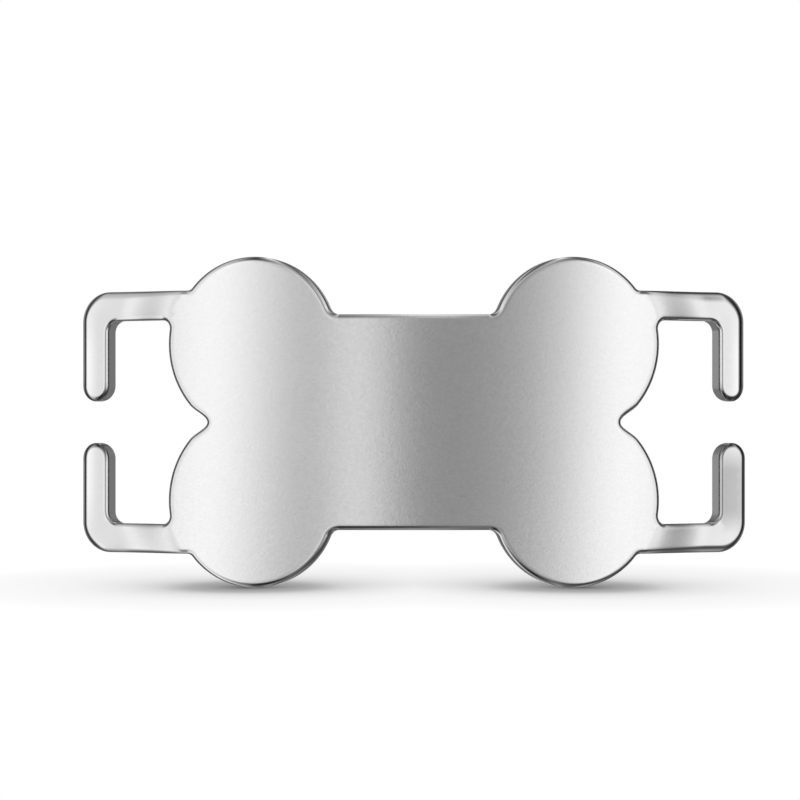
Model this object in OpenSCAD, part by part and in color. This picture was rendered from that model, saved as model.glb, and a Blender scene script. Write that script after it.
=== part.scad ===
// Slide-on pet id tag: a bone-shaped plate of steel with an L-shaped hook at each of its four lobes.
// The tag is laid out flat, as a blank with rounded edges. The blank is then bent round an upright
// axis to follow the neck, and its hooks step back so that the strap lies snug behind the plate.

/* [Collar strap] */
// Width of the collar strap that the tag slides onto
strap_width = 16; // [12:0.5:18]
// Height by which a slot is taller than the strap is wide
strap_clearance = 0.55; // [0.2:0.05:1.4]
// Width of a slot, from the widest point of the lobes to the fingers
slot_width = 5.8; // [4.8:0.1:8]
// Gap between the tips of two fingers, where the strap is fed in
mouth_gap = 3.4; // [2:0.1:5]

/* [Bone plate] */
// Length of the bone from end to end, along the bend
bone_length = 40.2; // [34:0.1:56]
// Radius of a lobe over its top
lobe_radius = 6.65; // [6.2:0.05:7]
// Height of a lobe's centre above the middle of the bone
lobe_rise = 6.7; // [6:0.05:7.4]
// Distance from the end of the bone back to a lobe's centre
lobe_inset = 7.2; // [6.7:0.05:8.2]
// Radius of a lobe's fuller outer side
flank_radius = 7.7; // [7.2:0.05:8.6]
// Height of the centre of that side above the middle of the bone
flank_rise = 6.35; // [5.9:0.05:7]
// Depth of the notch between the two lobes of an end
notch_depth = 3.3; // [2.8:0.05:4.4]
// Height above the middle at which a lobe's side runs into the notch
throat_rise = 1.4; // [1:0.05:2]
// How far the rounded bottom of the notch reaches up and down
notch_round = 0.5; // [0.2:0.05:0.8]
// Height of the waist between the lobes
waist_height = 17.35; // [13:0.05:20]
// Radius where the waist meets a lobe
waist_fillet = 0.5; // [0.3:0.05:1.5]

/* [Hooks] */
// Width of the arm that leads out from the lobe
arm_width = 2.4; // [1.8:0.05:2.6]
// Width of the finger that holds the strap in
finger_width = 2.55; // [1.6:0.05:3.2]
// Radius round the outside of a hook's corner
outer_corner = 2.5; // [1.2:0.05:2.8]
// Radius in the inside of a hook's corner
inner_corner = 0.95; // [0.4:0.05:1.5]
// Radius where the inner edge of an arm meets its lobe
inner_fillet = 0.65; // [0.4:0.05:1]
// Radius where the outer edge of an arm meets its lobe
outer_fillet = 0.5; // [0.3:0.05:0.8]
// Distance by which the hooks lie behind the sweep of the plate
step_back = 0.9; // [0.2:0.05:1.4]
// Length of arm that the step takes, out from the lobe's side
step_length = 5.6; // [3:0.1:7]

/* [Sheet] */
// Thickness of the steel
thickness = 1.7; // [1:0.05:2.4]
// Radius of the rounded edges
edge_round = 0.42; // [0.15:0.01:0.49]
// Radius of the bend round the neck, at mid thickness
bend_radius = 62; // [48:1:120]

/* [Hidden] */

// Colours of the satin plate and of the brighter, polished hooks
plate_colour = [0.80, 0.80, 0.81];
hook_colour = [0.72, 0.72, 0.74];

// Steps of each curve in the outline
waist_steps = 4;
fillet_steps = 4;
crest_steps = 12;
shoulder_steps = 6;
brow_steps = 9;
flank_steps = 10;
throat_steps = 6;
lug_steps = flank_steps + throat_steps - brow_steps;
arm_steps = 9;
corner_steps = 6;
tip_steps = 5;
edge_steps = 3;

// Flat places are [along, up]: along the blank from its middle, and up from its middle line.
// The names are for the upper right quarter, and the other quarters mirror it.
end_along = bone_length / 2;
lobe = [end_along - lobe_inset, lobe_rise];
flank = [end_along - flank_radius, flank_rise];
notch = [end_along - notch_depth, 0];
waist_up = waist_height / 2;

arm_inner = (strap_width + strap_clearance) / 2;
arm_outer = arm_inner + arm_width;
finger_inner = end_along + slot_width;
finger_outer = finger_inner + finger_width;
tip_up = mouth_gap / 2;
tip_radius = finger_width / 2;
tip = [finger_inner + tip_radius, tip_up + tip_radius];

// Centre of a fillet at a given height, outside a lobe's circle and on the given side of its centre
function fillet_centre(circle_centre, radius, fillet, up, side) =
    [circle_centre.x + side * sqrt(pow(radius + fillet, 2) - pow(up - circle_centre.y, 2)), up];

waist_corner = fillet_centre(lobe, lobe_radius, waist_fillet, waist_up + waist_fillet, -1);
outer_root = fillet_centre(lobe, lobe_radius, outer_fillet, arm_outer + outer_fillet, 1);
inner_root = fillet_centre(flank, flank_radius, inner_fillet, arm_inner - inner_fillet, 1);
// A hook leaves the plate where the fillet under its arm ends
root_along = inner_root.x;

function heading(from, to) = atan2(to.y - from.y, to.x - from.x);
waist_turn = heading(lobe, waist_corner);
shoulder_turn = acos((notch.x - lobe.x) / lobe_radius);
outer_root_turn = heading(lobe, outer_root);
inner_root_turn = heading(flank, inner_root);
throat_turn = asin((throat_rise - flank.y) / flank_radius);
throat = flank + flank_radius * [cos(throat_turn), sin(throat_turn)];

// An edge is a list of [along, up, u, v]: a place on the outline, and the direction [u, v] that leads
// into the steel. Each edge leaves out its last place, which is the first of the next edge.
INSIDE = -1;
OUTSIDE = 1;

function arc_edge(centre, radius, from, to, steps, steel) =
    [for (i = [0 : steps - 1])
        let (turn = from + (to - from) * i / steps, ray = [cos(turn), sin(turn)])
        [each centre + radius * ray, each steel * ray]];

function straight_edge(from, to, steps, into) =
    [for (i = [0 : steps - 1]) [each from + (to - from) * i / steps, each into]];

// The notch's side leaves its bottom upright and swings out until it runs along the lobe. It is a
// curve with two handles, and the one at the throat takes this share of the way to the notch.
handle_share = 1 / 3;
throat_reach = norm(throat - notch) * handle_share;
notch_handle = notch + [0, notch_round];
throat_handle = throat + throat_reach * [sin(throat_turn), -cos(throat_turn)];

function notch_place(u) = pow(1 - u, 3) * notch + 3 * u * pow(1 - u, 2) * notch_handle
    + 3 * u * u * (1 - u) * throat_handle + pow(u, 3) * throat;

function notch_course(u) = pow(1 - u, 2) * (notch_handle - notch)
    + 2 * u * (1 - u) * (throat_handle - notch_handle) + u * u * (throat - throat_handle);

function notch_edge(steps) =
    [for (i = [0 : steps - 1])
        let (u = i / steps, course = notch_course(u), into = [-course.y, course.x] / norm(course))
        [each notch_place(u), each into]];

UP = [0, 1];
DOWN = [0, -1];
RIGHT = [1, 0];
LEFT = [-1, 0];

// Upper edge of the bone, from the middle of the waist to the outer corner of the hook's root
upper_edge = concat(
    straight_edge([0, waist_up], [waist_corner.x, waist_up], waist_steps, DOWN),
    arc_edge(waist_corner, waist_fillet, -90, waist_turn - 180, fillet_steps, OUTSIDE),
    arc_edge(lobe, lobe_radius, waist_turn, 90, crest_steps, INSIDE),
    arc_edge(lobe, lobe_radius, 90, shoulder_turn, shoulder_steps, INSIDE),
    arc_edge(lobe, lobe_radius, shoulder_turn, outer_root_turn, brow_steps, INSIDE),
    arc_edge(outer_root, outer_fillet, outer_root_turn - 180, -90, fillet_steps, OUTSIDE),
    straight_edge([outer_root.x, arm_outer], [root_along, arm_outer], lug_steps, DOWN),
    [[root_along, arm_outer, each DOWN]]);

// Side of the bone, from the bottom of the notch to the inner corner of the hook's root
side_edge = concat(
    notch_edge(throat_steps),
    arc_edge(flank, flank_radius, throat_turn, inner_root_turn, flank_steps, INSIDE),
    arc_edge(inner_root, inner_fillet, inner_root_turn + 180, 90, fillet_steps, OUTSIDE),
    [[root_along, arm_inner, each UP]]);

// Edges of a hook, each from the root out to the finger's tip. The outer one holds the tip itself.
outer_edge = concat(
    straight_edge([root_along, arm_outer], [finger_outer - outer_corner, arm_outer], arm_steps, DOWN),
    arc_edge([finger_outer - outer_corner, arm_outer - outer_corner], outer_corner, 90, 0,
        corner_steps, INSIDE),
    straight_edge([finger_outer, arm_outer - outer_corner], [finger_outer, tip.y], 1, LEFT),
    arc_edge(tip, tip_radius, 0, -90, tip_steps, INSIDE),
    [[tip.x, tip_up, each UP]]);

inner_edge = concat(
    straight_edge([root_along, arm_inner], [finger_inner - inner_corner, arm_inner], arm_steps, UP),
    arc_edge([finger_inner - inner_corner, arm_inner - inner_corner], inner_corner, 90, 0,
        corner_steps, OUTSIDE),
    straight_edge([finger_inner, arm_inner - inner_corner], [finger_inner, tip.y], 1, RIGHT),
    arc_edge(tip, tip_radius, 180, 270, tip_steps, INSIDE));

function reversed(list) = [for (i = [len(list) - 1 : -1 : 0]) list[i]];

// How far the sheet lies behind the sweep of the plate at a flat place. The step starts along the
// lobe's side and its continuation across the root of the arm. It is steepest a third of the way
// along and runs out slowly towards the finger.
function step_at(along, up) =
    let (past = norm([along - flank.x, up - flank.y]) - flank_radius,
        share = min(max(past / step_length, 0), 1))
    along > flank.x ? step_back * share * sqrt(share) * (5 - 3 * share) / 2 : 0;

// Place in the bent tag of a flat place, a distance out in front of mid thickness
function bent(along, up, out) =
    let (turn = along / bend_radius * 180 / PI,
        reach = bend_radius + out - step_at(abs(along), abs(up)))
    [reach * sin(turn), bend_radius - reach * cos(turn), up];

// Levels of the rounded edge from the front face to the back, as [inset from the outline, out]
front_levels = [for (i = [0 : edge_steps])
    let (turn = 90 * i / edge_steps)
    [edge_round * (1 - sin(turn)), thickness / 2 - edge_round * (1 - cos(turn))]];
levels = concat(front_levels, [for (level = reversed(front_levels)) [level.x, -level.y]]);

function sheet_places(outline) =
    [for (level = levels) for (place = outline)
        bent(place[0] + level.x * place[2], place[1] + level.x * place[3], level.y)];

// Triangles of a face whose first corner sees all the others
function fan(face) = [for (i = [1 : len(face) - 2]) [face[0], face[i], face[i + 1]]];

// A bent sheet with rounded edges. The outline runs clockwise as seen from the front, and
// front_faces lists the faces of its front side by their places on the outline.
module sheet(outline, front_faces) {
    count = len(outline);
    back = count * (len(levels) - 1);
    rim = [for (level = [0 : len(levels) - 2]) for (i = [0 : count - 1])
        let (here = level * count + i, next = level * count + (i + 1) % count)
        [here, here + count, next + count, next]];
    back_faces = [for (face = front_faces) [for (corner = reversed(face)) corner + back]];
    polyhedron(sheet_places(outline),
        [for (face = concat(rim, front_faces, back_faces)) each fan(face)], convexity = 8);
}

// The bone's outline is one quarter and its mirror images
quarter = concat(upper_edge, reversed(side_edge));
last = len(quarter) - 1;
lower_quarter = [for (i = [last - 1 : -1 : 0])
    let (place = quarter[i]) [place[0], -place[1], place[2], -place[3]]];
right_half = concat(quarter, lower_quarter);
left_half = [for (i = [len(right_half) - 2 : -1 : 1])
    let (place = right_half[i]) [-place[0], place[1], -place[2], place[3]]];
bone_outline = concat(right_half, left_half);

function below(i) = 2 * last - i;
function leftward(i) = (4 * last - i) % (4 * last);

// Front faces of the bone: upright strips over the waist, a face that meets the bottom of the notch,
// and strips over each lobe from its top to its side
shoulder = waist_steps + fillet_steps + crest_steps + shoulder_steps;
lobe_strips = [for (i = [0 : len(side_edge) - 2])
    [shoulder + i, shoulder + i + 1, last - 1 - i, last - i]];
right_faces = concat(
    [for (i = [0 : shoulder - 2]) [i, i + 1, below(i + 1), below(i)]],
    [[last, below(shoulder), below(shoulder - 1), shoulder - 1, shoulder]],
    lobe_strips,
    [for (face = lobe_strips) [for (corner = reversed(face)) below(corner)]]);
bone_faces = concat(right_faces,
    [for (face = right_faces) [for (corner = reversed(face)) leftward(corner)]]);

hook_outline = concat(outer_edge, reversed(inner_edge));
tip_place = len(inner_edge);
hook_faces = concat(
    [for (i = [0 : tip_place - 2]) [i, i + 1, 2 * tip_place - i - 1, 2 * tip_place - i]],
    [[tip_place - 1, tip_place, tip_place + 1]]);

// The tag stands on its lower lobes, with the middle of its width and depth over the origin
back_depth = max([for (place = sheet_places(hook_outline)) place.y]);
middle_depth = (back_depth - thickness / 2) / 2;
middle_height = lobe_rise + lobe_radius;

module standing() {
    translate([0, -middle_depth, middle_height]) children();
}

module hook() {
    color(hook_colour) sheet(hook_outline, hook_faces);
}

module bone_plate() {
    standing() color(plate_colour) sheet(bone_outline, bone_faces);
}

module top_left_hook() {
    standing() mirror([1, 0, 0]) hook();
}

module top_right_hook() {
    standing() hook();
}

module bottom_left_hook() {
    standing() mirror([1, 0, 0]) mirror([0, 0, 1]) hook();
}

module bottom_right_hook() {
    standing() mirror([0, 0, 1]) hook();
}

bone_plate();
top_left_hook();
top_right_hook();
bottom_left_hook();
bottom_right_hook();
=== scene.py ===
# %% [markdown]
# # A slide-on collar tag in stainless steel
#
# The tag is a bone-shaped plate with an L-shaped hook at the outer side of each lobe. It was
# blanked from thick sheet, bent to follow a pet's neck, given a satin face and then polished
# along its edges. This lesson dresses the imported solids: it repeats the maker's own steps, a
# flat outline, a rounded edge and a bend, with a much finer mesh, and then lights the steel
# the way a product photographer does, with pale cards and dark ones.
#
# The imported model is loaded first. It is the fixed frame that every piece has to fit.

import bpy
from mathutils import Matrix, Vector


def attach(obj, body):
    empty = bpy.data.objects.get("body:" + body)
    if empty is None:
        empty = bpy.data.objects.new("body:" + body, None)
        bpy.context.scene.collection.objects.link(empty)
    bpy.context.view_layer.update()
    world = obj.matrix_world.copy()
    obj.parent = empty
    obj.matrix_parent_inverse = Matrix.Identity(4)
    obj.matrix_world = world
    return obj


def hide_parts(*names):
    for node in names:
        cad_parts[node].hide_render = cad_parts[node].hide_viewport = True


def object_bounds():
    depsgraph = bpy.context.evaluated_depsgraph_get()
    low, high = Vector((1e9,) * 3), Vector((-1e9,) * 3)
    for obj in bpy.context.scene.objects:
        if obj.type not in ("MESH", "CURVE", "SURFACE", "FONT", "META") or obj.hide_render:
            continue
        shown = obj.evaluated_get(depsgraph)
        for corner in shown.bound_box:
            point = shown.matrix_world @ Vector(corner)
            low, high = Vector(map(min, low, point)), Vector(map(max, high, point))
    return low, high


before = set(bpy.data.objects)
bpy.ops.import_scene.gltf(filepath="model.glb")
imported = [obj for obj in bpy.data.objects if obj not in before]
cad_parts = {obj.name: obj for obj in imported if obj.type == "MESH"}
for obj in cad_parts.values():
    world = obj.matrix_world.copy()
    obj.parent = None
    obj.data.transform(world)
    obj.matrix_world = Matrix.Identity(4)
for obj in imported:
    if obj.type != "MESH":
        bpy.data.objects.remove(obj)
cad_low, cad_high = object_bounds()
MM = 0.001      # the scene is in metres


def in_mm(low, high):
    """The corners of a box in millimetres, to be printed."""
    return [round(v / MM, 2) for v in (*low, *high)]


print("CAD box in mm:", in_mm(cad_low, cad_high))

# %% [markdown]
# ## The camera
#
# The photograph was taken straight on, with the lens level with the middle of the tag. Nothing
# converges, but the inner walls of the outermost fingers show, so the camera stood close: about
# 290 mm in front of the plate, with a long lens. The tag doesn't lie in the middle of the
# picture. Tilting the camera would bend the view, so a small lens shift frames it instead.

# %% Place the camera
import math

import bpy

tag_middle = (cad_low + cad_high) / 2
camera_gap = 290 * MM               # from the lens to the crest of the plate
picture_side = 800                  # pixels
scale_at_crest = 0.0802 * MM        # metres in a pixel at the crest of the plate
tag_in_picture = (413.9, 422.2)     # the middle of the tag, in pixels from the top left

lens = bpy.data.cameras.new("product_lens")
lens.sensor_width = 36.0
lens.lens = lens.sensor_width * camera_gap / (scale_at_crest * picture_side)
lens.shift_x = (picture_side / 2 - tag_in_picture[0]) / picture_side
lens.shift_y = (tag_in_picture[1] - picture_side / 2) / picture_side
lens.clip_start, lens.clip_end = 0.01, 20.0

camera = bpy.data.objects.new("product_camera", lens)
camera.location = (0, cad_low.y - camera_gap, tag_middle.z)
camera.rotation_euler = (math.radians(90), 0, 0)
bpy.context.scene.collection.objects.link(camera)
bpy.context.scene.camera = camera
bpy.context.scene.view_settings.view_transform = "Standard"
print(f"lens {lens.lens:.1f} mm, shift {lens.shift_x:.4f}, {lens.shift_y:.4f}")

# %% [markdown]
# ## Small helpers for nodes
#
# Every finish and every light below is a handful of nodes. These helpers keep them short: they
# add a node and set its inputs, do sums, draw a curve, and read where a point lies and who looks
# at it. The last two start a material and add a mesh to the scene.

# %% Node and mesh helpers
def add_node(tree, kind, inputs=(), **settings):
    """Adds a node. inputs pairs a socket's name or number with a value or with another socket."""
    node = tree.nodes.new(kind)
    for name, value in settings.items():
        setattr(node, name, value)
    for name, value in dict(inputs).items():
        if isinstance(value, bpy.types.NodeSocket):
            tree.links.new(value, node.inputs[name])
        else:
            node.inputs[name].default_value = value
    return node


def maths(tree, operation, *values, clamp=False):
    """The result socket of a Math node."""
    node = add_node(tree, "ShaderNodeMath", enumerate(values), operation=operation, use_clamp=clamp)
    return node.outputs[0]


def length(tree, first, second):
    """The length of a line with these two sides, as a socket."""
    squares = [maths(tree, "MULTIPLY", side, side) for side in (first, second)]
    return maths(tree, "SQRT", maths(tree, "ADD", *squares))


def curve(tree, value, low, high, points, top):
    """A smooth curve through points (x, y), with x from low to high and y from 0 to top."""
    place = add_node(tree, "ShaderNodeMapRange",
                     {"Value": value, "From Min": low, "From Max": high})
    node = add_node(tree, "ShaderNodeFloatCurve", {"Value": place.outputs[0]})
    line = node.mapping.curves[0]
    scaled = [((x - low) / (high - low), y / top) for x, y in points]
    while len(line.points) < len(scaled):
        line.points.new(0.5, 0.5)
    for point, spot in zip(line.points, scaled):
        point.location = spot
    node.mapping.update()
    return maths(tree, "MULTIPLY", node.outputs[0], top)


def own_place(tree):
    """Where a point lies on its own object, as a socket."""
    return add_node(tree, "ShaderNodeTexCoord").outputs["Object"]


def seen(tree):
    """1 for what the camera sees, directly, in a gloss or through a clear material, else 0."""
    path = add_node(tree, "ShaderNodeLightPath")
    either = maths(tree, "ADD", path.outputs["Is Camera Ray"], path.outputs["Is Glossy Ray"])
    return maths(tree, "ADD", either, path.outputs["Is Transmission Ray"], clamp=True)


def new_material(name):
    material = bpy.data.materials.new(name)
    material.use_nodes = True
    material.node_tree.nodes.clear()
    return material, material.node_tree


def add_object(name, mesh):
    thing = bpy.data.objects.new(name, mesh)
    bpy.context.scene.collection.objects.link(thing)
    return thing


# %% [markdown]
# ## The studio: a white room
#
# The background is pure white, and that white is the world itself. A matt surface gets a little
# less light from it than the camera sees. The tag and its table hardly meet this light, because
# the tent of the next step stands round them.

# %% White surroundings
matt_light = 0.9        # of the white that the camera sees

world = bpy.data.worlds.new("white_room")
bpy.context.scene.world = world
world.use_nodes = True
room = world.node_tree
room.nodes.clear()
level = add_node(room, "ShaderNodeMapRange",
                 {"Value": seen(room), "To Min": matt_light, "To Max": 1.0})
white = add_node(room, "ShaderNodeBackground",
                 {"Color": (1, 1, 1, 1), "Strength": level.outputs[0]})
add_node(room, "ShaderNodeOutputWorld", {"Surface": white.outputs[0]})
print("white room: light on matt surfaces", matt_light)

# %% [markdown]
# ## The studio: a light tent
#
# Steel has hardly any colour of its own. What shows on it is a picture of the room, bent by
# the plate and blurred by its satin. So the tag is shot inside a tent of thin white cloth, which
# the camera can't see. It is most of a sphere, made of rings of faces, with a small opening at
# its far end.

# %% Cloth of the tent
tent_radius = 0.8
tent_opening = 172   # degrees from the lens direction at which the cloth ends
rings, spokes = 86, 96


def tent_mesh():
    """Rings of faces from the lens direction, which is -Y, back to the opening."""
    points, faces = [(0, -tent_radius, 0)], []
    for i in range(1, rings + 1):
        bend = math.radians(tent_opening * i / rings)
        for j in range(spokes):
            roll = 2 * math.pi * j / spokes
            points.append((tent_radius * math.sin(bend) * math.cos(roll),
                           -tent_radius * math.cos(bend),
                           tent_radius * math.sin(bend) * math.sin(roll)))
    for j in range(spokes):
        after = (j + 1) % spokes
        faces.append((0, 1 + j, 1 + after))
        for i in range(rings - 1):
            here, beyond = 1 + i * spokes, 1 + (i + 1) * spokes
            faces.append((here + j, beyond + j, beyond + after, here + after))
    mesh = bpy.data.meshes.new("light_tent")
    mesh.from_pydata(points, [], faces)
    return mesh


tent = add_object("light_tent", tent_mesh())
tent.location = tag_middle
print("tent of", len(tent.data.polygons), "faces, open beyond", tent_opening, "degrees")

# %% [markdown]
# The cloth is lit unevenly: bright at both sides, dim around the lens, with a faint bright strip
# left of it, a narrow strip light overhead, and dark cards beyond.
#
# Light is planned by the way the steel faces. Steel mirrors the cloth that lies twice as far
# from the lens as its own tilt, so each place on the cloth is named by the tilt that mirrors it:
# a turn to the left or right, and a rise up or down. The plate's face turns by up to 25 degrees
# and doesn't rise at all. Only the hooks and the rounded edges turn or rise further.

# %% Light by the way the steel faces
# Pairs of turn in degrees and light, for steel that doesn't rise, that rises by about 30
# degrees, that looks almost straight up, that looks down and that looks almost straight down
light_rows = {
    "level": [
        (-90, 0.2), (-78, 0.2), (-70, 0.25), (-62, 0.34), (-57, 0.15), (-51, 0.01), (-46, 0.05),
        (-42, 0.2), (-39, 0.47), (-36.5, 0.76), (-34, 0.92), (-31.5, 1.07), (-29, 1.03),
        (-26, 0.9), (-23, 0.91), (-20.5, 0.95), (-17.5, 1.3), (-15, 1.18), (-13, 0.92),
        (-10.5, 0.7), (-8.5, 0.46), (-7, 0.56), (-5, 1.02), (-3, 0.74), (-1, 0.43), (1, 0.29),
        (3, 0.29), (6, 0.34), (9, 0.42), (11.5, 0.58), (14, 0.84), (16.5, 1.18), (19.5, 1.32),
        (23, 0.96), (26, 0.98), (30, 1.07), (33.5, 0.82), (36, 0.6), (39, 0.3), (42, 0.08),
        (46, 0.01), (52, 0.01), (57, 0.03), (61, 0.18), (66, 0.22), (76, 0.2), (90, 0.2)],
    "above": [
        (-90, 0.25), (-62, 0.2), (-48, 0.06), (-42, 0.2), (-37, 0.5), (-32, 0.62), (-29, 0.62),
        (-26.5, 0.66), (-24, 0.5), (-21, 0.36), (-18, 0.16), (-13.5, 0.03), (-8, 0.16),
        (-3.4, 0.34), (-0.8, 0.38), (1.2, 0.7), (3.8, 0.55), (6, 0.3), (13.5, 0.2), (20, 0.1),
        (25, 0.2), (28, 0.6), (32, 0.75), (36, 0.5), (40, 0.06), (50, 0.03), (62, 0.2),
        (75, 0.4), (90, 0.4)],
    "overhead": [
        (-90, 0.25), (-60, 0.15), (-48, 0.08), (-36, 0.2), (-26, 0.25), (-18, 0.15),
        (-13.5, 0.06), (-8, 0.3), (-3.4, 0.5), (0.6, 1.0), (3.8, 1.0), (6, 0.8), (13.5, 0.3),
        (20, 0.07), (26, 0.25), (32, 0.05), (40, 0.03), (60, 0.2), (90, 0.3)],
    "below": [
        (-90, 0.2), (-62, 0.2), (-50, 0.04), (-44, 0.05), (-38, 0.6), (-33.5, 1.1), (-30, 1.0),
        (-28.5, 0.97), (-26, 0.88), (-24.5, 0.66), (-23, 0.36), (-20, 0.3), (-17, 0.25),
        (-13.5, 0.02), (-3.4, 0.02), (1, 0.08), (2.8, 0.18), (4, 0.22), (6, 0.2), (9, 0.1),
        (13.5, 0.07), (20, 0.05), (26, 0.08), (31, 0.1), (36, 0.08), (42, 0.03), (50, 0.05),
        (62, 0.2), (75, 0.15), (90, 0.15)],
    "underneath": [
        (-90, 0.2), (-60, 0.2), (-40, 0.12), (-32, 0.3), (-26, 0.5), (-20, 0.3), (-13.5, 0.13),
        (-3.4, 0.28), (1.5, 0.35), (4, 0.22), (6, 0.15), (13.5, 0.12), (20, 0.2), (26, 0.4),
        (32, 0.35), (40, 0.1), (60, 0.2), (90, 0.15)]}
brightest = 1.5         # top of the curves
# The rise at which a row starts to take over from the one nearer to level, and where it has done so
takes_over = {"above": (6, 32), "overhead": (36, 58),
              "below": (-3, -20), "underneath": (-27, -50)}
for name, points in light_rows.items():
    print(f"{name}: {len(points)} lights, the brightest {max(light for _, light in points)}")

# %% [markdown]
# The rows become curves in the cloth's material, and rows that lie above each other are eased
# into one another. The side cards lean inwards by about a degree at their lower ends, as the
# photograph shows along the tag's lower edges.

# %% Light the cloth
card_lean = 1.2             # degrees
leaning_turn = (6, 10)      # cards nearer to the lens than this stand upright
leaning_rise = (-0.3, -1.3)

cloth, tree = new_material("tent_cloth")


def eased(value, start, end):
    node = add_node(tree, "ShaderNodeMapRange",
                    {"Value": value, "From Min": start, "From Max": end},
                    interpolation_type="SMOOTHSTEP")
    return node.outputs[0]


def mixed(share, first, second):
    node = add_node(tree, "ShaderNodeMix", {0: share, 2: first, 3: second}, data_type="FLOAT")
    return node.outputs[0]


# Steel that mirrors a place on the cloth faces half way between that place and the lens
spot = add_node(tree, "ShaderNodeSeparateXYZ", {0: own_place(tree)})
across, backward, upward = (maths(tree, "DIVIDE", side, tent_radius) for side in spot.outputs)
forward = maths(tree, "SUBTRACT", 1.0, backward)
turn = maths(tree, "DEGREES", maths(tree, "ARCTAN2", across, forward))
rise = maths(tree, "DEGREES", maths(tree, "ARCTAN2", upward, length(tree, across, forward)))
lean = maths(tree, "MULTIPLY", eased(maths(tree, "ABSOLUTE", turn), *leaning_turn),
             eased(rise, *leaning_rise))
leaning = maths(tree, "MULTIPLY_ADD", lean, card_lean, turn)

row = {name: curve(tree, leaning if name == "level" else turn, -90, 90, points, brightest)
       for name, points in light_rows.items()}
share = {name: eased(rise, *rises) for name, rises in takes_over.items()}
upper = mixed(share["overhead"], row["above"], row["overhead"])
lower = mixed(share["underneath"], row["below"], row["underneath"])
strength = mixed(share["above"], mixed(share["below"], row["level"], lower), upper)
glow = add_node(tree, "ShaderNodeEmission", {"Strength": strength})
add_node(tree, "ShaderNodeOutputMaterial", {"Surface": glow.outputs[0]})
tent.data.materials.append(cloth)
tent.visible_camera = False
print("the cloth is lit by", len(row), "rows of lights")

# %% [markdown]
# ## The table
#
# The tag stands on its two lower lobes, on a white tile seen almost edge on. The tile is matt,
# so it takes the tag's own soft shadow, and a glow for the camera lifts the rest of it to
# white. Round each lobe's foot the photograph is darker than a soft light alone makes it, so
# a shade is painted there into the tile's colour and glow. The mirroring edges don't see the
# tile: the light planned for steel that looks down stands for it.

# %% Tile under the tag
tile_reach, tile_front, tile_back = 0.3, -0.12, 0.3     # metres from below the tag's middle
tile_corners = 96
tile_paint, tile_glow = 0.5, 0.86
# A shade is painted round each lobe's foot: where it centres and how far it reaches
foot_right, foot_back = 13.2 * MM, -2.3 * MM     # where a lower lobe stands
shade_right = 30 * MM                            # how far its shade reaches to the side
shade_forward, shade_backward = 1.5, 2.05        # and how many times further to the front and back
# Share of the light that the painted shade leaves, by the distance from the foot as a share of that
# reach
light_left = [(0, 0.08), (0.11, 0.35), (0.16, 0.42), (0.205, 0.53), (0.25, 0.65), (0.293, 0.72),
              (0.337, 0.77), (0.4, 0.82), (0.47, 0.86), (0.55, 0.885), (0.65, 0.905), (0.8, 0.94),
              (1, 1)]

tile_middle, tile_depth = (tile_front + tile_back) / 2, (tile_back - tile_front) / 2
tile_mesh = bpy.data.meshes.new("white_tile")
tile_mesh.from_pydata(
    [(tile_reach * math.cos(angle), tile_middle + tile_depth * math.sin(angle), 0)
     for angle in (2 * math.pi * i / tile_corners for i in range(tile_corners))],
    [], [tuple(range(tile_corners))])

paint, tree = new_material("tile_paint")
sideways, backward, _ = add_node(tree, "ShaderNodeSeparateXYZ", {0: own_place(tree)}).outputs
off_foot = maths(tree, "SUBTRACT", maths(tree, "ABSOLUTE", sideways), foot_right)
off_right = maths(tree, "DIVIDE", off_foot, shade_right)
off_back = maths(tree, "DIVIDE", maths(tree, "SUBTRACT", backward, foot_back), shade_right)
off_back = maths(tree, "MINIMUM", maths(tree, "DIVIDE", off_back, shade_backward),
                 maths(tree, "DIVIDE", off_back, shade_forward))
# The painted shade darkens both the tile's matt colour and its glow
painted_light_share = curve(tree, length(tree, off_right, off_back), 0, 1, light_left, 1.0)
matt_level = maths(tree, "MULTIPLY", painted_light_share, tile_paint)
tint = add_node(tree, "ShaderNodeCombineColor", {i: matt_level for i in range(3)})
matt = add_node(tree, "ShaderNodeBsdfDiffuse", {"Color": tint.outputs[0]})
lift = maths(tree, "MULTIPLY", maths(tree, "MULTIPLY", seen(tree), tile_glow), painted_light_share)
glow = add_node(tree, "ShaderNodeEmission", {"Strength": lift})
both = add_node(tree, "ShaderNodeAddShader", {0: matt.outputs[0], 1: glow.outputs[0]})
add_node(tree, "ShaderNodeOutputMaterial", {"Surface": both.outputs[0]})

tile_mesh.materials.append(paint)
tile = add_object("white_tile", tile_mesh)
tile.visible_glossy = False
print(f"tile {2 * tile_reach / MM:.0f} mm wide and {2 * tile_depth / MM:.0f} mm deep")

# %% [markdown]
# ## The blank, laid out flat
#
# A maker draws such a tag flat and bends it last, so its outline is plain geometry: two lobes
# made of arcs, a straight waist, a notch at each end and an arm and a finger of even width.
# The values are in millimetres, for the upper right quarter, counted along from the middle of
# the tag and up from the middle of its height. They are those of the solid model, but for
# finger_width (2.55 there) and waist_fillet (0.5 there), which follow the photograph here.

# %% Sizes of the blank
import numpy as np

slot_height = 16.55
slot_width = 5.8
mouth_gap = 3.4
bone_length = 40.2
lobe_radius = 6.65
lobe_rise = 6.7         # of a lobe's centre
lobe_inset = 7.2        # of a lobe's centre from the end of the bone
flank_radius = 7.7      # the outer side of a lobe is a flatter arc
flank_rise = 6.35
notch_depth = 3.3
throat_rise = 1.4       # where the notch runs into the flank
notch_round = 0.5       # length of the curve's handle at the bottom of the notch
waist_height = 17.35
waist_fillet = 0.85
arm_width = 2.4
finger_width = 2.62
outer_corner = 2.5
inner_corner = 0.95
inner_fillet = 0.65
outer_fillet = 0.5
step_back = 0.9
thickness = 1.7
bend_radius = 62.0

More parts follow.
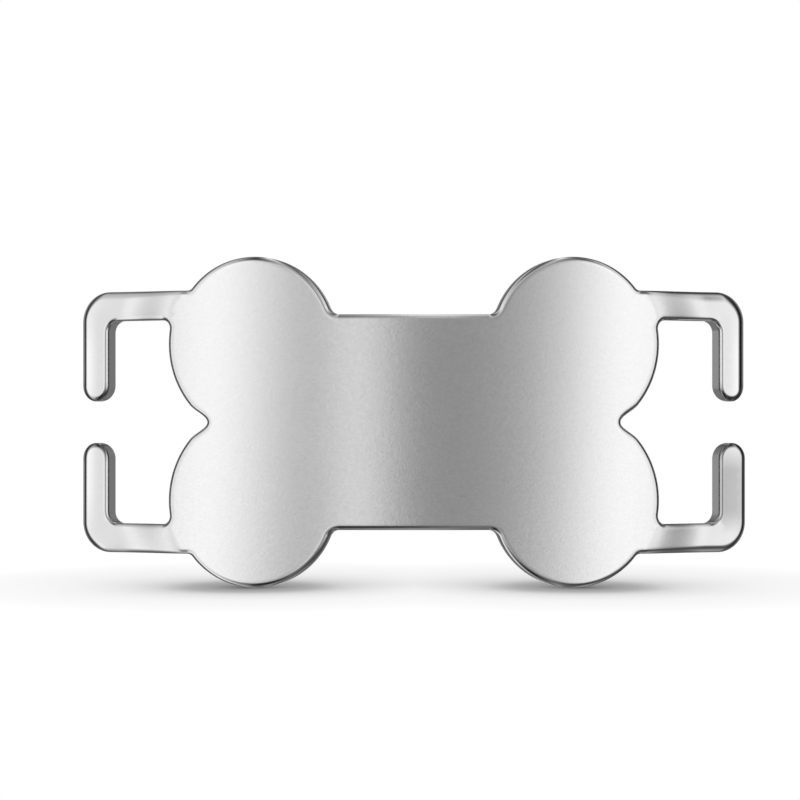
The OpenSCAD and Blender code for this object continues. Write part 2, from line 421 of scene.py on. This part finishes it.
end_along = bone_length / 2
lobe = np.array([end_along - lobe_inset, lobe_rise])
flank = np.array([end_along - flank_radius, flank_rise])
notch = np.array([end_along - notch_depth, 0.0])
waist_up = waist_height / 2
arm_inner = slot_height / 2
arm_outer = arm_inner + arm_width
finger_inner = end_along + slot_width
finger_outer = finger_inner + finger_width
tip_radius = finger_width / 2
tip = np.array([finger_inner + tip_radius, mouth_gap / 2 + tip_radius])
print(f"bone {bone_length} mm long before the bend, "
      f"hooks reach {finger_outer:.2f} mm from the middle")

# %% [markdown]
# The fillets between a lobe and an arm, and between a lobe and the waist, have their centres
# where a circle rolls against the lobe and the straight edge at once.

# %% Centres of the fillets
def rolling_centre(circle, radius, fillet, up, side):
    off_along = math.sqrt((radius + fillet) ** 2 - (up - circle[1]) ** 2)
    return np.array([circle[0] + side * off_along, up])


def heading(start, end):
    return math.degrees(math.atan2(end[1] - start[1], end[0] - start[0]))


waist_corner = rolling_centre(lobe, lobe_radius, waist_fillet, waist_up + waist_fillet, -1)
outer_root = rolling_centre(lobe, lobe_radius, outer_fillet, arm_outer + outer_fillet, 1)
inner_root = rolling_centre(flank, flank_radius, inner_fillet, arm_inner - inner_fillet, 1)
root_along = inner_root[0]
waist_turn = heading(lobe, waist_corner)
throat_turn = math.degrees(math.asin((throat_rise - flank_rise) / flank_radius))
throat = flank + flank_radius * np.array([math.cos(math.radians(throat_turn)),
                                          math.sin(math.radians(throat_turn))])
print(f"the hooks start {root_along:.2f} mm from the middle")

# %% [markdown]
# Each edge is a row of places with the direction that leads into the steel, because the
# rounded edge is made later by moving in from the outline. Points lie 0.2 mm apart on curves,
# which is less than three pixels of the picture, so no corner shows.

# %% Lines, arcs and the notch
spacing = 0.2                   # mm
INSIDE, OUTSIDE = -1, 1
UP, DOWN, LEFT, RIGHT = (0, 1), (0, -1), (-1, 0), (1, 0)


def arc(centre, radius, start, end, steel):
    """Places along an arc, without its last one. steel: on which side of the arc the steel is."""
    steps = max(3, math.ceil(abs(math.radians(end - start)) * radius / spacing))
    turns = np.radians(start + (end - start) * np.arange(steps) / steps)
    rays = np.stack([np.cos(turns), np.sin(turns)], axis=1)
    return np.hstack([np.array(centre) + radius * rays, steel * rays])


def straight(start, end, into, step=2 * spacing):
    """Places along a straight line, without its last one."""
    start, end = np.array(start, float), np.array(end, float)
    steps = max(1, math.ceil(np.linalg.norm(end - start) / step))
    places = start + (end - start) * (np.arange(steps) / steps)[:, None]
    return np.hstack([places, np.tile(into, (steps, 1))])


def notch_side(steps=26):
    """The side of a notch, from its bottom to the lobe, as a curve with two handles."""
    reach = np.linalg.norm(throat - notch) / 3      # of the upper handle, as is usual
    turn = math.radians(throat_turn)
    p0, p1 = notch, notch + np.array([0, notch_round])
    p2, p3 = throat + reach * np.array([math.sin(turn), -math.cos(turn)]), throat
    u = (np.arange(steps) / steps)[:, None]
    place = (1 - u) ** 3 * p0 + 3 * u * (1 - u) ** 2 * p1 + 3 * u * u * (1 - u) * p2 + u ** 3 * p3
    course = (1 - u) ** 2 * (p1 - p0) + 2 * u * (1 - u) * (p2 - p1) + u * u * (p3 - p2)
    into = np.stack([-course[:, 1], course[:, 0]], axis=1)
    return np.hstack([place, into / np.linalg.norm(into, axis=1, keepdims=True)])


def point(along, up, into):
    return np.array([[along, up, *into]], float)


print("the side of a notch has", len(notch_side()), "places")

# %% [markdown]
# A quarter of the tag has four edges: the upper one and the side one of the bone, and the outer
# and the inner one of the hook. The hook's two edges end at the tip of the finger.

# %% Edges of the blank
upper_edge = np.vstack([
    straight([0, waist_up], [waist_corner[0], waist_up], DOWN),
    arc(waist_corner, waist_fillet, -90, waist_turn - 180, OUTSIDE),
    arc(lobe, lobe_radius, waist_turn, heading(lobe, outer_root), INSIDE),
    arc(outer_root, outer_fillet, heading(lobe, outer_root) - 180, -90, OUTSIDE),
    straight([outer_root[0], arm_outer], [root_along, arm_outer], DOWN)])
side_edge = np.vstack([
    notch_side(),
    arc(flank, flank_radius, throat_turn, heading(flank, inner_root), INSIDE),
    arc(inner_root, inner_fillet, heading(flank, inner_root) + 180, 90, OUTSIDE)])
outer_edge = np.vstack([
    straight([root_along, arm_outer], [finger_outer - outer_corner, arm_outer], DOWN)[1:],
    arc([finger_outer - outer_corner, arm_outer - outer_corner], outer_corner, 90, 0, INSIDE),
    straight([finger_outer, arm_outer - outer_corner], [finger_outer, tip[1]], LEFT),
    arc(tip, tip_radius, 0, -90, INSIDE),
    point(tip[0], tip[1] - tip_radius, UP)])
inner_edge = np.vstack([
    straight([root_along, arm_inner], [finger_inner - inner_corner, arm_inner], UP)[1:],
    arc([finger_inner - inner_corner, arm_inner - inner_corner], inner_corner, 90, 0, OUTSIDE),
    straight([finger_inner, arm_inner - inner_corner], [finger_inner, tip[1]], RIGHT),
    arc(tip, tip_radius, 180, 270, INSIDE)])
edges = (upper_edge, side_edge, outer_edge, inner_edge)
print("places on the edges:", [len(edge) for edge in edges])

# %% [markdown]
# A hook leaves its lobe at an upright cut. In the steel there is no seam there, so the two
# pieces share exactly the same places along the cut, and later the same surface directions.

# %% Outlines of the plate and of a hook
cut_places = 4
cut_margin = 0.95     # keeps them clear of the rounded edges, in mm
cut_ups = np.linspace(arm_outer - cut_margin, arm_inner + cut_margin, cut_places)
cut = np.vstack([point(root_along, arm_outer, DOWN)]
                + [point(root_along, up, (0, 0)) for up in cut_ups]
                + [point(root_along, arm_inner, UP)])


def mirrored(rows, across=1, upward=1):
    return rows * np.array([across, upward, across, upward])


quarter = np.vstack([upper_edge, cut, side_edge[::-1]])
right_half = np.vstack([quarter, mirrored(quarter[:-1], upward=-1)[::-1]])
bone_outline = np.vstack([right_half, mirrored(right_half[1:-1], across=-1)[::-1]])
hook_outline = np.vstack([cut[:1], outer_edge, inner_edge[::-1], cut[:0:-1]])
print("outline places:", len(bone_outline), "on the bone,", len(hook_outline), "on a hook")

# %% [markdown]
# ## The bend and the step
#
# The flat blank is rolled round an upright axis, 62 mm behind the middle of the sheet. Beyond
# the lobes the hooks step back by 0.9 mm, so that the strap lies snug behind the plate. Their
# front is also very slightly crowned, because tumbling and polishing wear a narrow bar more
# than a broad plate. All of it is one function from the flat blank to the finished tag.

# %% From the flat blank to the bent tag
crown = 0.03            # how far a hook's front falls 1 mm off its middle line, in mm
arm_middle = arm_inner + arm_width / 2
finger_middle = tip[0]
path_round = 1.4        # radius of a hook's middle line round its corner
step_length = 5.1       # length of arm that the step takes (5.6 in the solid model)
middle_depth = -(cad_low.y / MM + thickness / 2)
middle_height = lobe_rise + lobe_radius


def past_lobe(along, up):
    """Distance beyond the lobe's side, as a share of the step, from 0 to 1."""
    past = np.hypot(np.abs(along) - flank[0], np.abs(up) - flank[1]) - flank_radius
    return np.where(np.abs(along) > flank[0], np.clip(past / step_length, 0, 1), 0)


def step_share(along, up):
    """From 0 on the plate to 1 on a finger. It starts and ends level."""
    share = past_lobe(along, up)
    return share * np.sqrt(share) * (5 - 3 * share) / 2


def off_middle_line(along, up, tip_is_round=True):
    """Distance outwards from the middle line of a hook. Round its tip it is never negative."""
    turn_along, turn_up = finger_middle - path_round, arm_middle - path_round
    on_arm = up - arm_middle
    on_finger = along - finger_middle
    if tip_is_round:
        on_finger = np.where(up < tip[1], np.hypot(on_finger, up - tip[1]), on_finger)
    round_corner = np.hypot(along - turn_along, up - turn_up) - path_round
    in_corner = (along > turn_along) & (up > turn_up)
    return np.where(in_corner, round_corner, np.maximum(on_arm, on_finger))


def bent(along, up, out):
    """Places in the finished tag, in mm. out is how far they lie in front of mid sheet."""
    share = step_share(along, up)
    on_front = out / thickness + 0.5        # 1 on the front face and 0 on the back one
    worn = crown * share * off_middle_line(np.abs(along), np.abs(up)) ** 2 * on_front
    turn = along / bend_radius
    reach = bend_radius + out - worn - step_back * share
    back = bend_radius - reach * np.cos(turn) - middle_depth
    return np.stack([reach * np.sin(turn), back, up + middle_height], axis=-1)


print(f"the sheet's crest lies {middle_depth:.3f} mm in front of the middle")

# %% [markdown]
# ## Rounded edges
#
# Going round the edge, a level moves in from the outline and from the face to the side wall,
# along a quarter circle. Just before it the satin face already sags a little, as every tumbled
# edge does. The plate's edge has a radius of about half a millimetre. Towards the fingers the
# outer edges of the hooks, which a buffing wheel reaches best, grow rounder, but the inner edges
# stay sharper. No two hooks of a hand-buffed tag are quite alike: the top right one is the
# roundest.

# %% Radius and levels of the edge
plate_round, inner_round = 0.45, 0.34
outer_round = {(-1, 1): 0.78, (1, 1): 1.05, (-1, -1): 0.8, (1, -1): 0.7}     # by side and height
back_round = 0.55               # no edge of the back is rounder than this
growth_across, growth_along = 1.7, 1.5      # powers: how late the radius grows, each way
sag_radius, sag_tilt = 2.5, math.radians(5)
hook_sag_loss = 0.8             # share of the sag that a hook has not
round_steps = 10


def edge_radius(along, up):
    """Radius of the rounded edge at a place on an outline."""
    outward = off_middle_line(np.abs(along), np.abs(up), tip_is_round=False) / tip_radius
    outer = sum(radius * (np.sign(along) == side) * (np.sign(up) == height)
                for (side, height), radius in outer_round.items())
    across = np.clip((outward + 1) / 2, 0, 1) ** growth_across
    hook = inner_round + (outer - inner_round) * across
    return plate_round + (hook - plate_round) * past_lobe(along, up) ** growth_along


def levels():
    """[side of the sheet, tilt] of each level, from the front face round to the back face."""
    tilts = [0, sag_tilt / 2, *np.linspace(sag_tilt, math.pi / 2, round_steps)]
    return [(1, tilt) for tilt in tilts] + [(-1, tilt) for tilt in reversed(tilts)]


def edge_place(radius, sag, tilt):
    """How far a level lies in from the outline and down from the face."""
    if tilt < sag_tilt:
        inset = radius * (1 - math.sin(sag_tilt)) + sag * (math.sin(sag_tilt) - math.sin(tilt))
        return inset, sag * (1 - math.cos(tilt))
    sunk = sag * (1 - math.cos(sag_tilt))
    return radius * (1 - math.sin(tilt)), sunk + radius * (math.cos(sag_tilt) - math.cos(tilt))


print(len(levels()), "levels from the front face to the back face")

# %% [markdown]
# ## Polish, wear, painted shade and painted highlight
#
# Polish isn't even on a hand-finished tag. The plate's face has none, a hook's face has more and
# more along its arm, and the edges have most. Shade is painted into the steel round the tips and
# on the bottom right finger, and a highlight is painted on the other fingers towards their tips.
# These functions say how much of each there is at a place. The mesh stores their values, and
# the steel's nodes read them.

# %% Where the steel is polished, grained, or painted darker or lighter
face_polish, polish_lead = 0.7, 1.3     # of a hook, and how much faster than its step it grows
wear_of_polish, wear_lead = 0.6, 0.4    # leads are in tip radii before a finger's round end
# Strengths and places of painted shade round the tips and on the bottom right finger, and of a
# painted highlight on the other fingers
tip_shade_paint, tip_shade_lead = 0.7, 0.3
finger_shade_paint, finger_highlight_paint = 0.36, 0.16
finger_fade = 0.9                       # mm before and after the ends of a finger's straight part
shade_paint_side = (1.05, 0.6)                 # shares of the finger's width, counted from its inner side
highlight_paint_side = (0.3, 0.65)
highlight_paint_growth = 3.5                       # mm over which a finger's outer side grows bright
lobe_start, lobe_full = 6, 12           # mm from the middle
waist_grain, lobe_loss, height_loss, hook_loss = 1.15, 0.4, 0.12, 0.5
full_height = 6                         # mm up or down at which height_loss counts in full
hair = 0.01                             # so that a finger's own edge counts as being on it


def ramp(value, start, end):
    """0 before start, 1 beyond end and even in between. start may be the higher one."""
    return np.clip((value - start) / (end - start), 0, 1)


def on_finger(along):
    return np.abs(along) > finger_inner - hair


def at_tip(along, up, lead):
    """From 0 before a finger's tip to 1 on it."""
    return on_finger(along) * ramp(np.abs(up), tip[1] + lead * tip_radius,
                                   tip[1] - (1 - lead) * tip_radius)


def hook_polish(along, up):
    """How far the face is polished: not at all on the plate, and more and more along an arm."""
    return face_polish * np.minimum(polish_lead * past_lobe(along, up), 1) ** 2


def tip_wear(along, up):
    """How far the rounded tip of a finger has lost its polish again."""
    return wear_of_polish * at_tip(along, up, wear_lead)


def painted_shade_and_highlight(along, up, tilt):
    """Painted shade below 1, round the tips and on one finger, and painted highlight above 1."""
    height, across = np.abs(up), (np.abs(along) - finger_inner) / finger_width
    lower_right = (along > 0) * (up < 0)
    face = on_finger(along) * np.cos(tilt)
    midway = (ramp(height, tip[1] - finger_fade, tip[1] + finger_fade)
              * ramp(height, arm_inner + finger_fade, arm_inner - finger_fade))
    toward_tip = ramp(height, arm_inner + finger_fade, arm_inner + finger_fade - highlight_paint_growth)
    # Painted shade round each tip's rounded edge and on the bottom right finger, painted highlight
    # on the other fingers
    painted_tip_shade = tip_shade_paint * at_tip(along, up, tip_shade_lead) * np.sin(2 * tilt)
    painted_finger_shade = finger_shade_paint * lower_right * midway * ramp(across, *shade_paint_side) * face
    painted_finger_highlight = finger_highlight_paint * (1 - lower_right) * ramp(across, *highlight_paint_side) * toward_tip * face
    return (1 - painted_tip_shade) * (1 - painted_finger_shade) * (1 + painted_finger_highlight)


def grain_strength(along, up):
    """The blasting bites best at the waist, less on the lobes and least on the hooks."""
    on_lobe = ramp(np.abs(along), lobe_start, lobe_full)
    lost = on_lobe * (lobe_loss + height_loss * np.clip(up / full_height, -1, 1))
    return (waist_grain - lost) * (1 - hook_loss * past_lobe(along, up))


print("grain strength at the waist, on a lobe and on a finger:",
      [round(float(grain_strength(*place)), 2) for place in ((0, 0), lobe, tip)])

# %% [markdown]
# ## Directions of the surface
#
# The direction of the surface is worked out exactly at each place, from how the bend stretches
# space there, so a polished highlight runs round the edge without a flicker.

# %% Surface directions after the bend
nudge = 1e-4        # mm


def surface_directions(along, up, out, flat):
    """Directions square to the bent surface, from those of the flat one: (along, up, out)."""
    d_along = bent(along + nudge, up, out) - bent(along - nudge, up, out)
    d_up = bent(along, up + nudge, out) - bent(along, up - nudge, out)
    d_out = bent(along, up, out + nudge) - bent(along, up, out - nudge)
    found = (flat[:, :1] * np.cross(d_up, d_out) + flat[:, 1:2] * np.cross(d_out, d_along)
             + flat[:, 2:] * np.cross(d_along, d_up))
    return found / np.linalg.norm(found, axis=1, keepdims=True)


crest = surface_directions(np.zeros(1), np.zeros(1), np.zeros(1), np.array([[0.0, 0.0, 1.0]]))
print("the crest of the plate looks along", crest[0].round(3))

# %% [markdown]
# ## Filling the faces
#
# A broad face that is one big polygon can't be bent, so it is filled with an even lattice of
# places, and Blender's own triangulation joins them with the outline.

# %% Lattice and triangles of a face
from mathutils import Vector
from mathutils.geometry import delaunay_2d_cdt

lattice_gap = 0.55          # between places inside a face, in mm
clear_of_edge = 0.45        # share of that gap that they keep from the outline
one_place = 1e-7            # mm within which two places count as one
inside_only = 1             # the kind of output that leaves out triangles beyond the outline


def inside_places(loop):
    """A lattice of places inside a closed loop, none of them close to it."""
    low, high = loop.min(0), loop.max(0)
    row_gap = lattice_gap * math.sqrt(3) / 2
    rows = np.arange(low[1], high[1], row_gap)
    lattice = np.array([(x + (i % 2) * lattice_gap / 2, y) for i, y in enumerate(rows)
                        for x in np.arange(low[0], high[0], lattice_gap)])
    after = np.roll(loop, -1, axis=0)
    span = after - loop
    crossings = ((loop[:, 1] > lattice[:, 1:]) != (after[:, 1] > lattice[:, 1:]))
    with np.errstate(divide="ignore", invalid="ignore"):
        reach = loop[:, 0] + (lattice[:, 1:] - loop[:, 1]) * span[:, 0] / span[:, 1]
    inside = (crossings & (lattice[:, :1] < reach)).sum(1) % 2 == 1
    gap = np.min(np.linalg.norm(lattice[:, None] - loop[None], axis=2), axis=1)
    return lattice[inside & (gap > clear_of_edge * lattice_gap)]


def face_triangles(loop, inner):
    """Triangles that fill a loop, over its places and the inner ones, counter-clockwise."""
    places = [Vector(p) for p in np.vstack([loop, inner])]
    _, _, triangles, origins, _, _ = delaunay_2d_cdt(
        places, [], [list(range(len(loop)))], inside_only, one_place)
    if not all(origins):
        raise ValueError("the outline crosses itself")
    return [[origins[i][0] for i in triangle] for triangle in triangles]


print("a hook's face has", len(inside_places(hook_outline[:, :2])), "places inside its outline")

# %% [markdown]
# ## The sheet
#
# A sheet is made flat first. Its levels go round the edge as rows of places, and bands of faces
# join each level to the next.

# %% Levels round the edge
def rim(outline):
    """Places, directions and polish of every level round the edge, as three lists."""
    along, up, into = outline[:, 0], outline[:, 1], outline[:, 2:]
    front_radius = edge_radius(along, up)
    back_radius = np.minimum(front_radius, back_round)
    sag = sag_radius * (1 - hook_sag_loss * past_lobe(along, up))
    places, directions, polish = [], [], []
    for side, tilt in levels():
        inset, drop = edge_place(front_radius if side > 0 else back_radius, sag, tilt)
        places.append(np.column_stack([outline[:, :2] + into * inset[:, None],
                                       side * (thickness / 2 - drop)]))
        directions.append(np.column_stack([-into * math.sin(tilt),
                                           np.full(len(outline), side * math.cos(tilt))]))
        buffed = max(math.sin(tilt) - math.sin(sag_tilt), 0)
        shine = 1 - (1 - buffed) * (1 - hook_polish(along, up))
        polish.append(shine - tip_wear(along, up) * math.sin(tilt))
    return places, directions, polish


def bands(count, level_count):
    """The faces between one level and the next, with the numbers of their two outline places."""
    for level in range(level_count - 1):
        for i in range(count):
            after = (i + 1) % count
            here, beyond = level * count, (level + 1) * count
            yield i, after, [here + i, here + after, beyond + after, beyond + i]


hook_rim = rim(hook_outline)[0]
print("a hook's rim has", len(hook_rim), "levels of", len(hook_rim[0]), "places")

# %% [markdown]
# The filled front and back close the sheet. Each corner of a face gets its own direction, so
# that the flat cut where a hook meets its lobe stays sharp. Then the whole sheet is bent.

# %% Put a piece together
def sheet(name, outline):
    """A flat sheet: its places, its faces, (place, direction) of each corner, and its finish."""
    places, directions, polish = rim(outline)
    count, level_count = len(outline), len(places)
    inner = inside_places(places[0][:, :2])
    fill = face_triangles(places[0][:, :2], inner)
    flat = np.vstack(places + [np.column_stack([inner, np.full(len(inner), side * thickness / 2)])
                               for side in (1, -1)])
    tilts = np.concatenate([np.full(count, tilt) for _, tilt in levels()]
                           + [np.zeros(2 * len(inner))])
    finish = {"edge_polish": np.concatenate(polish + 2 * [hook_polish(*inner.T)]),
              # painted shade and painted highlight, for the steel's colour
              "painted_light": painted_shade_and_highlight(flat[:, 0], flat[:, 1], tilts),
              "grain_strength": grain_strength(flat[:, 0], flat[:, 1])}

    directions = np.vstack(directions)
    on_cut = np.isclose(np.abs(outline[:, 0]), root_along)
    faces, corners = [], []
    for i, after, band in bands(count, level_count):
        faces.append(band)
        if on_cut[i] and on_cut[after]:
            outward = math.copysign(1, outline[i, 0]) * (1 if name == "bone" else -1)
            corners += [(v, (outward, 0, 0)) for v in band]
        else:
            corners += [(v, directions[v]) for v in band]
    back_level, front_inner = (level_count - 1) * count, level_count * count
    back_inner = front_inner + len(inner)
    for face in fill:
        front = [v if v < count else front_inner + v - count for v in face]
        back = [v + back_level if v < count else back_inner + v - count for v in reversed(face)]
        faces += [front, back]
        corners += [(v, (0, 0, 1)) for v in front] + [(v, (0, 0, -1)) for v in back]
    return flat, faces, corners, finish


def build_piece(name, outline):
    """The bent sheet as an object, with its surface directions and the values of its finish."""
    flat, faces, corners, finish = sheet(name, outline)
    spots = flat[[v for v, _ in corners]]
    flat_directions = np.array([direction for _, direction in corners], float)
    directions = surface_directions(*spots.T, flat_directions)
    mesh = bpy.data.meshes.new(name)
    mesh.from_pydata(bent(*flat.T) * MM, [], faces)
    mesh.polygons.foreach_set("use_smooth", [True] * len(faces))
    for kind, values in finish.items():
        mesh.attributes.new(kind, "FLOAT", "POINT").data.foreach_set("value", values)
    mesh.normals_split_custom_set(directions.tolist())
    mesh.update()
    return add_object(name, mesh)


# %% [markdown]
# ## The five pieces
#
# The bone is one piece. A hook's outline is mirrored to each corner before it is bent, and a
# mirror image runs the other way round, so its places are turned back to clockwise.

# %% Build the bone and the hooks
hook_corners = {"top_left": (-1, 1), "top_right": (1, 1),
                "bottom_left": (-1, -1), "bottom_right": (1, -1)}
pieces = {"bone": build_piece("bone", bone_outline)}
for name, (across, upward) in hook_corners.items():
    pieces[name] = build_piece(name, mirrored(hook_outline, across, upward)[::across * upward])
for name, piece in pieces.items():
    print(name, len(piece.data.vertices), "places,", len(piece.data.polygons), "faces")

# %% [markdown]
# ## Satin and polished steel
#
# The face was blasted or tumbled with fine media, which leaves a grain of tiny curled marks,
# a little wider than high. The edges and hooks were buffed. Both are the same metal, so one
# group of nodes makes both finishes, and the values that the mesh stores say how polished, how
# strongly grained and how much painted shade or highlight each place has.

# %% Steel finishes
satin_rough, polished_rough = 0.21, 0.13
steel_colour = 0.80
grain_depth = 0.0065 * MM
grain_shape = (0.6, 1.0, 1.0)       # less than 1 makes the marks longer that way
# Scale per metre, layers and distortion of each noise
noises = {"fine": (4600, 2, 1.2), "curls": (2600, 2, 2.5), "clouds": (160, 3, 0)}
fine_share, curl_share = 0.6, 0.4
grain_contrast, cloud_contrast, cloud_gloss = 0.18, 0.03, 0.04


def steel(name):
    material, tree = new_material(name)
    place = add_node(tree, "ShaderNodeMapping", {"Vector": own_place(tree), "Scale": grain_shape})
    fine, curls, clouds = (
        add_node(tree, "ShaderNodeTexNoise",
                 {"Vector": place.outputs[0], "Scale": scale, "Detail": layers,
                  "Distortion": distortion}).outputs["Fac"]
        for scale, layers, distortion in noises.values())
    polish, painted_light, strength = (
        add_node(tree, "ShaderNodeAttribute", attribute_name=kind).outputs["Fac"]
        for kind in ("edge_polish", "painted_light", "grain_strength"))
    satin = maths(tree, "SUBTRACT", 1.0, polish)

    # Each noise swings round 0.5
    grain = maths(tree, "ADD", maths(tree, "MULTIPLY", fine, fine_share),
                  maths(tree, "MULTIPLY", curls, curl_share))
    grain = maths(tree, "MULTIPLY", maths(tree, "SUBTRACT", grain, 0.5), strength)
    cloud = maths(tree, "SUBTRACT", clouds, 0.5)
    value = maths(tree, "MULTIPLY_ADD", grain, grain_contrast, steel_colour)
    value = maths(tree, "MULTIPLY_ADD", cloud, cloud_contrast, value)
    # The painted shade and highlight multiply the steel's colour
    value = maths(tree, "MULTIPLY", value, painted_light)
    tint = add_node(tree, "ShaderNodeCombineColor", {i: value for i in range(3)})
    rough = maths(tree, "MULTIPLY_ADD", satin, satin_rough - polished_rough, polished_rough)
    rough = maths(tree, "MULTIPLY_ADD", cloud, cloud_gloss, rough)
    bump = add_node(tree, "ShaderNodeBump", {"Height": maths(tree, "MULTIPLY", grain, satin),
                                            "Strength": 1.0, "Distance": grain_depth})
    shader = add_node(tree, "ShaderNodeBsdfPrincipled",
                      {"Base Color": tint.outputs[0], "Metallic": 1.0,
                       "Roughness": rough, "Normal": bump.outputs[0]})
    add_node(tree, "ShaderNodeOutputMaterial", {"Surface": shader.outputs[0]})
    return material


satin_steel, polished_steel = steel("satin_steel"), steel("polished_steel")
print("finishes:", satin_steel.name, "and", polished_steel.name)

# %% [markdown]
# ## Join the pieces to the imported model
#
# Each piece rides on the tag's only body and takes the satin or the polished finish, and the
# solid whose place it takes is hidden.

# %% Fit the pieces to the frame
for name, piece in pieces.items():
    plate = name == "bone"
    piece.data.materials.append(satin_steel if plate else polished_steel)
    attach(piece, "root")
    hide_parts("bone_plate" if plate else name + "_hook")
print(len(pieces), "pieces ride on the tag's body")
